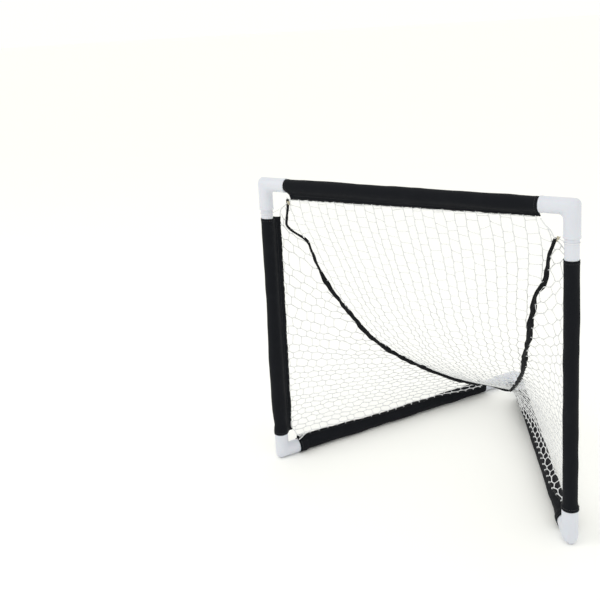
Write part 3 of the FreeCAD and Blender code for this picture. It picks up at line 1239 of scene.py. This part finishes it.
# The tape hangs to the inner side of the seam, lower down
SEAM_TAPE_SHIFT = {"left": (2.0, -2.3, -2.2), "right": (-3.0, -1.2, 1.6)}
for name, side in SIDES.items():
    surface = Surface()
    line = SEAM_LINE[name][::3]
    if side < 0:
        line = np.concatenate(([line[0] + (0.5, -1.5, 8.5)], line))
    line = smooth_line(line, TAPE_STEP)
    s = np.arange(len(line)) * TAPE_STEP
    jitter = joined(*[ripple_line(s, 16, seed) for seed in (201, 202, 203)])
    calm = smoothstep(0, 12, s) * smoothstep(0, 12, s[::-1])
    line = line + 0.5 * jitter * calm[:, None]
    line = line + np.array(SEAM_TAPE_SHIFT[name]) * smoothstep(150, 330, s)[:, None]
    facing = np.broadcast_to((side * 0.75, 0.55, 0.35), line.shape)
    if side < 0:
        facing = facing + smoothstep(110, 300, s)[:, None] * (TAPE_UPRIGHT - facing)
    tape(surface, line, facing, 210 + side, SEAM_TAPE_WIDE[name], 4.4)
    piece = surface.make(f"{name}_seam_binding_tape", TAPE)
    replace_with_blend(piece, f"{name}_seam_binding")

surface = Surface()
hem_x, hem_y, _ = SEAM["left"][-1]
hem = [
    (-hem_x - 3, hem_y, HEM_Z), (-15, hem_y + 1, HEM_Z - 2), (10, hem_y, HEM_Z - 3.5),
    (28, hem_y - 1, HEM_Z - 4.5), (hem_x + 3, hem_y, HEM_Z - 2),
]
tape(surface, smooth_line(hem, 3), TAPE_UPRIGHT, 230, lambda s: 7.0, 4.2)
piece = surface.make("rear_hem_binding_tape", TAPE)
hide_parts("rear_hem_binding")
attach(piece, "base_frame")


# Corner ties


PLY_R = 0.5
PLY_PITCH = 4.5
CORD_STRAND_R = 0.7
LEAD_R = 0.55
LEAD_APART = 0.9


def plies(surface, line, guide):
    """Two plies laid round each other along a line."""
    _, side, other = (each[0] for each in frames(line[None], guide))
    for start in (0, math.pi):
        phase = (distances(line) * (2 * math.pi / PLY_PITCH) + start)[:, None]
        surface.tube(line + PLY_R * 0.85 * spin(side, other, phase), PLY_R, guide)


# Each knot's place from the top of its seam
KNOT_FROM_SEAM = {"left": (3.2, -2.4, 3.0), "right": (5.5, -1.5, 2.5)}

for name, side in SIDES.items():
    seam_top = SEAM_LINE[name][0]
    knot = seam_top + np.array(KNOT_FROM_SEAM[name])
    centre = foot(side) + UP * (HEIGHT - TIE_DROP)
    toward = unit((knot - centre) * (1, 1, 0))
    beside = np.cross(UP, toward)

    cord = Surface()
    hug = TUBE_R + CORD_STRAND_R + 0.05
    ring = centre + hug * spin(toward, beside, round_angles(60)[:, None])
    cord.add(sweep(ring[None], CORD_STRAND_R, UP, 6), loop=True)
    for shift in (-LEAD_APART, LEAD_APART):
        start = centre + toward * hug + beside * shift
        lead = smooth_line([start, (start + knot) / 2 - UP * 2.0, knot], 1.5)
        cord.tube(lead, LEAD_R, beside)
    cord_piece = cord.make(f"{name}_corner_cord", NET)

    surface = Surface()
    loop = round_angles(59)[:, None]
    tangle = (2.0 * np.sin(loop) + 1.3 * np.sin(2 * loop)) * toward
    tangle = tangle + (2.0 * np.cos(loop) - 1.3 * np.cos(2 * loop)) * UP
    tangle = knot + 0.85 * (tangle - 1.6 * np.sin(3 * loop) * beside)
    surface.add(sweep(tangle[None], 1.0, unit(toward + beside * 0.3 + UP * 0.17), 6), loop=True)
    for spread, drop in ((1, 7), (-1, 5)):
        tail = [
            knot,
            knot + beside * 2.0 * spread + toward * 0.8 - UP * 1.0,
            knot + beside * 2.8 * spread + toward * 1.2 - UP * drop * 0.55,
            knot + beside * 2.4 * spread + toward * 1.4 - UP * drop,
        ]
        plies(surface, smooth_line(tail, 0.8), toward + beside * 0.2)
    knot_piece = surface.make(f"{name}_corner_knot", TIE)
    for piece in (cord_piece, knot_piece):
        replace_with_blend(piece, f"{name}_corner_tie")


# Studio


def add_light(name, location, target, size, power):
    data = bpy.data.lights.new(name, "AREA")
    data.shape = "SQUARE"
    data.size = size
    data.energy = power
    light = add_object(name, data)
    light.location = location
    light.rotation_mode = "QUATERNION"
    light.rotation_quaternion = (Vector(target) - Vector(location)).to_track_quat("-Z", "Y")


# Half the floor's width in metres, wide enough to put its rim at the horizon
FLOOR_HALF = 200.0


def add_studio():
    mesh = bpy.data.meshes.new("floor")
    rim = [(x * FLOOR_HALF, y * FLOOR_HALF, 0) for x, y in ((-1, -1), (1, -1), (1, 1), (-1, 1))]
    mesh.from_pydata(rim, [], [(0, 1, 2, 3)])
    mesh.materials.append(floor_material())
    add_object("floor", mesh)
    target = (0, 0, 0.3)
    add_light("key", (-1.6, -2.2, 2.6), target, 1.8, 16)
    add_light("fill", (2.6, -1.6, 1.6), target, 2.0, 5)
    world = bpy.data.worlds.new("studio")
    world.use_nodes = True
    background = world.node_tree.nodes["Background"]
    background.inputs["Color"].default_value = (1.0, 1.0, 0.96, 1)
    background.inputs["Strength"].default_value = 1.03
    bpy.context.scene.world = world
    bpy.context.scene.view_settings.view_transform = "Standard"


add_studio()
